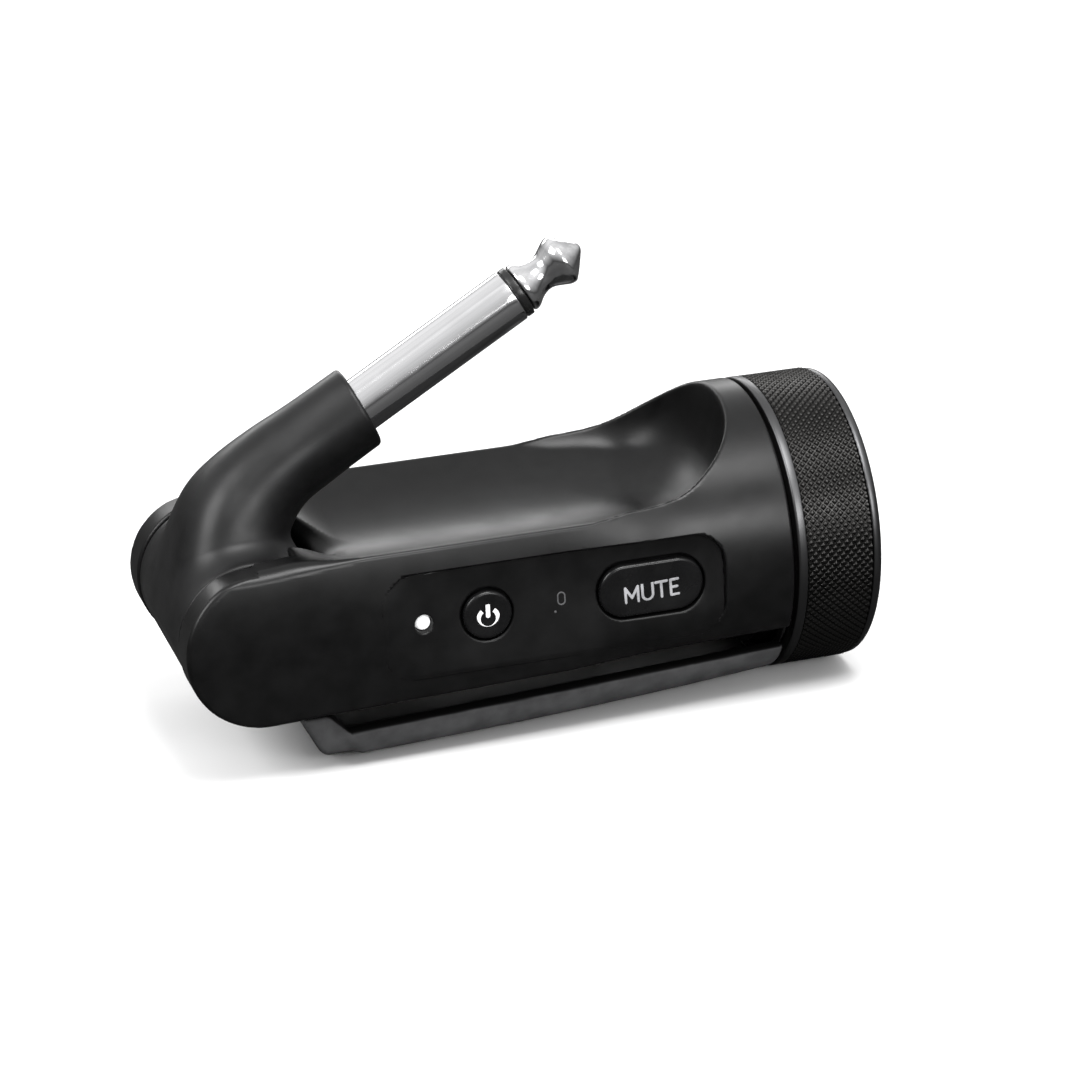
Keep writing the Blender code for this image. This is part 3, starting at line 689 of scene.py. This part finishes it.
def print_layer(outline, y, level, cover=0.03):
    """A thin printed layer that stands just proud of the surface at y = level."""
    return round_both(outline, np.abs(y - level) - cover, 0.02)


def power_mark(x, y, z):
    """A ring open at the top, with a bar in the opening."""
    ring_radius, half_stroke, half_opening = 1.15, 0.26, math.radians(36)
    u, v = x - POWER_X, z - (POWER_Z - 0.38)
    ring = np.abs(np.hypot(u, v) - ring_radius) - half_stroke
    gap = np.abs(u) - np.maximum(v, 0) * math.tan(half_opening)
    ring = np.maximum(ring, np.where(v > 0, -gap, -1.0))
    bar = segment_2d(x - POWER_X, z - POWER_Z, (0, -0.05), (0, 1.38)) - half_stroke
    return print_layer(np.minimum(ring, bar), y, BUTTON_FRONT + 0.075)


def mute_mark(x, y, z):
    """The word on the button in plain strokes, turned a little from the button's long sides."""
    c, s = math.cos(TEXT_TILT), math.sin(TEXT_TILT)
    u = (x - TEXT_X) * c + (z - TEXT_Z) * s
    v = (z - TEXT_Z) * c - (x - TEXT_X) * s
    low, high, half_stroke = -0.92, 0.92, 0.165
    letter_m = [((-3.1, low), (-3.1, high)), ((-3.1, high), (-2.35, -0.35)),
                ((-2.35, -0.35), (-1.6, high)), ((-1.6, high), (-1.6, low))]
    letter_t = [((0.55, high), (1.9, high)), ((1.22, high), (1.22, low))]
    letter_e = [((2.35, low), (2.35, high)), ((2.35, high), (3.25, high)),
                ((2.35, 0.02), (3.1, 0.02)), ((2.35, low), (3.25, low))]
    strokes = [segment_2d(u, v, *stroke) for stroke in letter_m + letter_t + letter_e]
    u_x, u_radius = -0.45, 0.62
    bowl_z = low + u_radius
    bowl = np.abs(np.hypot(u - u_x, v - bowl_z) - u_radius)
    sides = np.abs(np.abs(u - u_x) - u_radius)
    letter_u = np.maximum(np.where(v < bowl_z, bowl, sides), v - high)
    outline = np.minimum.reduce([*strokes, letter_u]) - half_stroke
    return print_layer(outline, y, BUTTON_FRONT + 0.085)


power = add_surfaces("power_cap", [
    (power_field, (POWER_X - 3.2, -16.6, POWER_Z - 3.2), (POWER_X + 3.2, -14.6, POWER_Z + 3.2),
     0.12, button_black),
    (power_mark, (POWER_X - 1.8, -16.4, POWER_Z - 2.2), (POWER_X + 1.8, -16.0, POWER_Z + 2.0),
     0.05, mark_white)])
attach(power, "power_key")
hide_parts("power_button")

mute = add_surfaces("mute_cap", [
    (mute_field, (MUTE_X - 6.7, -16.6, MUTE_Z - 3.6), (MUTE_X + 6.7, -14.6, MUTE_Z + 3.6),
     0.15, button_black),
    (mute_mark, (TEXT_X - 4.0, -16.4, TEXT_Z - 1.6), (TEXT_X + 4.0, -16.0, TEXT_Z + 1.6),
     0.05, mark_grey)])
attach(mute, "mute_key")
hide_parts("mute_button")


def led_field(x, y, z):
    across = np.hypot(x - LED_X, z - LED_Z)
    dome = np.hypot(across, (y - dish_level(LED_X, LED_Z) - 2.4) * 0.50) - 1.25
    return round_both(dome, np.maximum(across - LED_RADIUS, y - PIECE_BACK), 0.15)


def link_field(x, y, z):
    ring = np.abs(rounded_box_2d(x - LINK_X, z - LINK_Z, 0.42, 0.70, 0.40)) - 0.09
    dot = np.hypot(x - LINK_X + 0.8, z - LINK_Z + 1.44) - 0.15
    return print_layer(np.minimum(ring, dot), y, dish_level(x, z))


led = add_surfaces("led_dome", [(
    led_field, (LED_X - 1.2, -16.6, LED_Z - 1.2), (LED_X + 1.2, -14.7, LED_Z + 1.2), 0.08, led_white)])
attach(led, "body")
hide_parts("status_led")

link_mark = add_surfaces("link_mark", [(
    link_field, (33.0, -16.6, -0.8), (35.2, -15.4, 2.2), 0.04, mark_dim)])
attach(link_mark, "body")
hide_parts("link_indicator")

# ---------------------------------------------------------------- arm and plug

arm = add_surfaces("arm_shell", [
    (arm_field, (-9.6, -12.0, -9.6), (21.5, 12.0, 26.0), 0.26, arm_rubber)])
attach(arm, "arm")
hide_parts("plug_arm")

axis_x, axis_z = plug_point(0)
PLUG_BASE, PLUG_DIRECTION = (axis_x, 0, axis_z), (AXIS_X, 0, AXIS_Z)
SLEEVE_END = COLLAR_END + 21.5
RING_END = SLEEVE_END + 1.0
PLUG_RADIUS = 3.175
PLUG_SEGMENTS = 96
SHANK_START = PLUG_START + 0.2
SLEEVE_BORE, RING_RADIUS, RING_BORE, SHANK_RADIUS = 2.2, 1.9, 1.3, 1.2

sleeve_profile = [(SHANK_START, SLEEVE_BORE), (SHANK_START, PLUG_RADIUS)]
sleeve_profile += [(COLLAR_END - 0.3, PLUG_RADIUS), (COLLAR_END + 0.2, PLUG_RADIUS)]
sleeve_profile += [(COLLAR_END + 0.25 + i * 2.0, PLUG_RADIUS) for i in range(1, 11)]
sleeve_profile += arc(SLEEVE_END - 0.25, PLUG_RADIUS - 0.15, 0.15, 90, 0, 4)
sleeve_profile += [(SLEEVE_END - 0.1, SLEEVE_BORE)]
sleeve_rings = lathe_rings(sleeve_profile, PLUG_BASE, PLUG_DIRECTION, PLUG_SEGMENTS)
sleeve = rings_mesh("plug_barrel", sleeve_rings, chrome, closed_profile=True, sharp=35)
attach(sleeve, "arm")
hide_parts("plug_sleeve")

ring_profile = [(SHANK_START, RING_BORE), (SHANK_START, RING_RADIUS)]
ring_profile += [(SLEEVE_END - 0.05, RING_RADIUS), (SLEEVE_END - 0.05, PLUG_RADIUS - 0.22)]
ring_profile += arc(SLEEVE_END + 0.2, PLUG_RADIUS - 0.15, 0.1, 150, 90, 3)
ring_profile += arc(RING_END - 0.2, PLUG_RADIUS - 0.15, 0.1, 90, 30, 3)
ring_profile += [(RING_END + 0.02, PLUG_RADIUS - 0.45), (RING_END + 0.02, RING_BORE)]
ring_rings = lathe_rings(ring_profile, PLUG_BASE, PLUG_DIRECTION, PLUG_SEGMENTS)
insulator = rings_mesh("plug_ring", ring_rings, insulator_black, closed_profile=True, sharp=35)
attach(insulator, "arm")
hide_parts("plug_insulator")

# The tip beyond the ring, as (along, radius): shoulder, waist, ball and point
TIP_SHAPE = [
    (0.08, 2.75), (0.18, 2.92), (0.7, 2.94), (1.1, 2.76), (1.6, 2.42),
    (2.2, 2.14), (2.8, 2.01), (3.2, 2.02), (3.6, 2.12), (4.1, 2.36),
    (4.6, 2.62), (5.0, 2.84), (5.4, 2.99), (5.7, 3.04), (6.0, 3.0), (6.3, 2.76),
    (6.9, 2.16), (7.5, 1.5), (8.0, 0.92), (8.3, 0.55), (8.46, 0.25), (8.5, 0.02),
]
tip_profile = [(SHANK_START, 0.02), (SHANK_START, SHANK_RADIUS), (RING_END, SHANK_RADIUS)]
tip_profile += [(RING_END + along, r) for along, r in smooth_path(TIP_SHAPE, 5)]
tip = lathe("plug_point", tip_profile, PLUG_BASE, PLUG_DIRECTION, chrome, PLUG_SEGMENTS, 50)
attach(tip, "arm")
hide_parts("plug_tip")

# ---------------------------------------------------------------- screw cap

CAP_START, GRIP_END, CAP_END = 62.5, 71.5, 73.0
GRIP_BORE = 14.9
DIAMONDS = 112
PER_DIAMOND = 8
KNURL_DEPTH = 0.30
KNURL_FLAT = 1.9


def knurled_grip():
    """Rings of the grip: a smooth flange, then diamonds cut by two crossing sets of grooves."""
    count = DIAMONDS * PER_DIAMOND
    angle = 2 * np.pi * np.arange(count) / count
    pitch = 2 * np.pi * ROUND_RADIUS / DIAMONDS
    flange = [(CAP_START, GRIP_BORE), (CAP_START, 16.9)]
    flange += arc(CAP_START + 0.3, ROUND_RADIUS - 0.3, 0.3, 180, 90, 4)
    flange += [(CAP_START + 0.95, ROUND_RADIUS)]
    flange += arc(CAP_START + 0.95, ROUND_RADIUS - 0.2, 0.2, 60, 10, 2)
    rows = [(x, r, False) for x, r in flange]
    knurl_start, knurl_end = CAP_START + 1.2, GRIP_END + 0.08
    steps = round((knurl_end - knurl_start) / pitch * PER_DIAMOND)
    knurl_radius = ROUND_RADIUS - 0.02
    rows += [(knurl_start + i * pitch / PER_DIAMOND, knurl_radius, True) for i in range(steps + 1)]
    rows += [(GRIP_END + 0.14, ROUND_RADIUS - 0.45, False), (GRIP_END + 0.14, GRIP_BORE, False)]
    rings = []
    for x, radius, knurled in rows:
        r = np.full(count, radius)
        if knurled:
            i = (x - knurl_start) / pitch
            j = angle / (2 * np.pi) * DIAMONDS
            hills = [np.abs((j + side * i) % 1 - 0.5) * 2 for side in (1, -1)]
            height = np.minimum(1 - hills[0], 1 - hills[1])
            r = r - KNURL_DEPTH * (1 - np.clip(KNURL_FLAT * height, 0, 1))
        y = r * np.sin(angle)
        z = ROUND_Z + r * np.cos(angle)
        rings.append(np.stack([np.full(count, x), y, z], 1))
    return rings


grip_rings = [ring[::-1] for ring in knurled_grip()]
grip = rings_mesh("cap_knurl", grip_rings, grip_metal, closed_profile=True, sharp=38)
grip.data.materials.append(rim_metal)
FLANGE_BANDS = 10
for polygon in grip.data.polygons[:FLANGE_BANDS * DIAMONDS * PER_DIAMOND]:
    polygon.material_index = 1
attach(grip, "cap")
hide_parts("cap_grip")

# The end: a plug that reaches into the bore, a rounded rim, and a shallow recess with fine turned rings
PLUG_IN, STEP_X, ROUNDING = 65.0, 68.4, 0.85
RECESS_X = CAP_END - 0.4
rim_profile = [(PLUG_IN, 0.02), (PLUG_IN, 13.0), (STEP_X, 13.1), (STEP_X, 14.5)]
rim_profile += [(GRIP_END + 0.3, 14.6), (GRIP_END + 0.3, 16.6)]
rim_profile += arc(GRIP_END + 0.5, ROUND_RADIUS - 0.35, 0.2, 180, 90, 4)
rim_profile += arc(CAP_END - ROUNDING, ROUND_RADIUS - 0.15 - ROUNDING, ROUNDING, 88, 2, 12)
rim_profile += [(CAP_END, 16.1), (CAP_END, 14.5), (CAP_END, 13.2)]
rim_profile += arc(CAP_END - 0.1, 12.95, 0.1, 80, 180, 3)[:3]
rim_profile += [(RECESS_X, 12.7)]
rim_profile += [(RECESS_X - 0.03 * (i % 2), 12.4 - 0.3 * i) for i in range(40)]
rim_profile += [(RECESS_X, 0.02)]
rim = lathe("cap_rim", rim_profile, (0, 0, ROUND_Z), (1, 0, 0), rim_metal, 192, 30)
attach(rim, "cap")
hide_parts("cap_end")

# ---------------------------------------------------------------- strap clip

CLIP_ROOT_TOP, BOTTOM_Z = -9.2, ROUND_Z - ROUND_RADIUS
CLIP_START, CLIP_END = 3.4, 61.9
CLIP_WALL = 2.0


def clip_field(x, y, z):
    """A long trough under the body: its root stands up to meet the body, and its blade is lower."""
    leaned = x - 0.5 * (CLIP_ROOT_TOP - z) * (1 - ramp(x, 20, 58))
    t = np.clip((leaned - CLIP_START) / 57.8, 0, 1)
    half = mix(14.6, 14.0, t)
    squareness = mix(3.4, 1.6, t)
    blade_top = mix(-11.7, -9.7, np.clip((leaned - 7.2) / 54, 0, 1))
    top = mix(CLIP_ROOT_TOP, blade_top, ramp(leaned, 6.6, 8.1))
    height = top - BOTTOM_Z

    def arch(inset):
        down = np.maximum(top - z, 0) / (height - inset)
        reach = (np.abs(y) / (half - inset)) ** squareness + down ** squareness
        return (reach ** (1 / squareness) - 1) * np.minimum(half, height)

    solid = round_both(arch(0), z - top, 0.45)
    trough_start = 7.4
    wall = round_cut(solid, round_both(arch(CLIP_WALL), trough_start - leaned, 0.8), 0.35)
    ends = np.maximum((CLIP_START - leaned) / 1.12, x - CLIP_END)
    return round_both(wall, ends, 0.7)


clip = add_surfaces("strap_clip", [
    (clip_field, (2.4, -15.4, -17.2), (62.8, 15.4, -8.4), 0.34, clip_grey)])
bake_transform(clip)
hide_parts("clip_root", "clip_blade")

# ---------------------------------------------------------------- CAD pieces that stay

# They are inside, or seen only in gaps.

for name, material in (
    ("hinge_pin", steel), ("friction_ring_near", steel), ("friction_ring_far", steel),
    ("main_board", board_green), ("power_switch", switch_grey), ("mute_switch", switch_grey),
    ("status_chip", ceramic_white), ("link_chip", ceramic_white), ("radio_shield", steel),
    ("audio_chip", insulator_black), ("antenna", ceramic_white), ("battery_cell", cell_wrap),
    ("battery_terminal", steel), ("bay_contact", steel), ("bay_spring", steel), ("cap_seal", seal_rubber),
    ("cap_contact", brass),
):
    mesh = frame["nodes"][name].data
    mesh.materials.clear()
    mesh.materials.append(material)

# ---------------------------------------------------------------- floor, light and camera


def floor_material():
    """Pale, and much darker in mirrored rays, in place of the dark cards that shade a product shot."""
    material = new_material("floor_pale", (0.82, 0.82, 0.82), 0.8, specular=0.1)
    ray = node(material, "ShaderNodeLightPath")
    shade = node(material, "ShaderNodeMapRange")
    shade.inputs["To Min"].default_value = 0.82
    shade.inputs["To Max"].default_value = 0.04
    link(material, ray.outputs["Is Glossy Ray"], shade.inputs["Value"])
    link(material, shade.outputs["Result"], principled(material).inputs["Base Color"])
    return material


floor_mesh = bpy.data.meshes.new("floor")
floor_mesh.from_pydata([(-2, -2, 0), (2, -2, 0), (2, 2, 0), (-2, 2, 0)], [], [(0, 1, 2, 3)])
floor = bpy.data.objects.new("floor", floor_mesh)
floor_mesh.materials.append(floor_material())
bpy.context.scene.collection.objects.link(floor)

world = bpy.data.worlds.new("studio")
bpy.context.scene.world = world
world.use_nodes = True
world_nodes, world_links = world.node_tree.nodes, world.node_tree.links
background = world_nodes["Background"]
background.inputs["Strength"].default_value = 1.05
sky_direction = world_nodes.new("ShaderNodeTexCoord")
sky_height = world_nodes.new("ShaderNodeSeparateXYZ")
sky_ramp = world_nodes.new("ShaderNodeValToRGB")
world_links.new(sky_direction.outputs["Generated"], sky_height.inputs["Vector"])
world_links.new(sky_height.outputs["Z"], sky_ramp.inputs["Fac"])
world_links.new(sky_ramp.outputs["Color"], background.inputs["Color"])
for stop, height, brightness in zip(sky_ramp.color_ramp.elements, (0.0, 0.65), (0.10, 0.90)):
    stop.position = height
    stop.color = (brightness, brightness, brightness, 1)

TARGET = metres((36.78, 0, 2.26))


def area_light(name, place, size, energy):
    light = bpy.data.lights.new(name, "AREA")
    light.shape = "RECTANGLE"
    light.size, light.size_y = size
    light.energy = energy
    obj = bpy.data.objects.new(name, light)
    obj.location = Vector(place)
    obj.rotation_euler = (Vector(TARGET) - obj.location).to_track_quat("-Z", "Y").to_euler()
    bpy.context.scene.collection.objects.link(obj)


area_light("key", (0.06, -0.22, 0.48), (0.26, 0.20), 2.2)
area_light("left", (-0.38, -0.08, 0.36), (0.25, 0.25), 1.8)
area_light("front", (0.17, -0.55, 0.24), (0.34, 0.16), 1.6)
area_light("back", (0.05, 0.50, 0.20), (0.50, 0.12), 0.8)

CAMERA_DISTANCE = 0.400
camera_data = bpy.data.cameras.new("camera")
camera_data.sensor_width = 36
camera_data.lens = 113.78
camera_data.clip_start = 0.01
camera = bpy.data.objects.new("camera", camera_data)
azimuth, elevation, roll = math.radians(-16.6), math.radians(20.42), math.radians(2.46)
back = Vector((
    math.sin(azimuth) * math.cos(elevation), -math.cos(azimuth) * math.cos(elevation), math.sin(elevation)))
right = Vector((math.cos(azimuth), math.sin(azimuth), 0))
up = back.cross(right)
camera_right = right * math.cos(roll) - up * math.sin(roll)
camera_up = right * math.sin(roll) + up * math.cos(roll)
turn = Matrix((camera_right, camera_up, back)).transposed().to_4x4()
camera.matrix_world = Matrix.Translation(Vector(TARGET) + CAMERA_DISTANCE * back) @ turn
bpy.context.scene.collection.objects.link(camera)
bpy.context.scene.camera = camera
bpy.context.scene.view_settings.view_transform = "Standard"
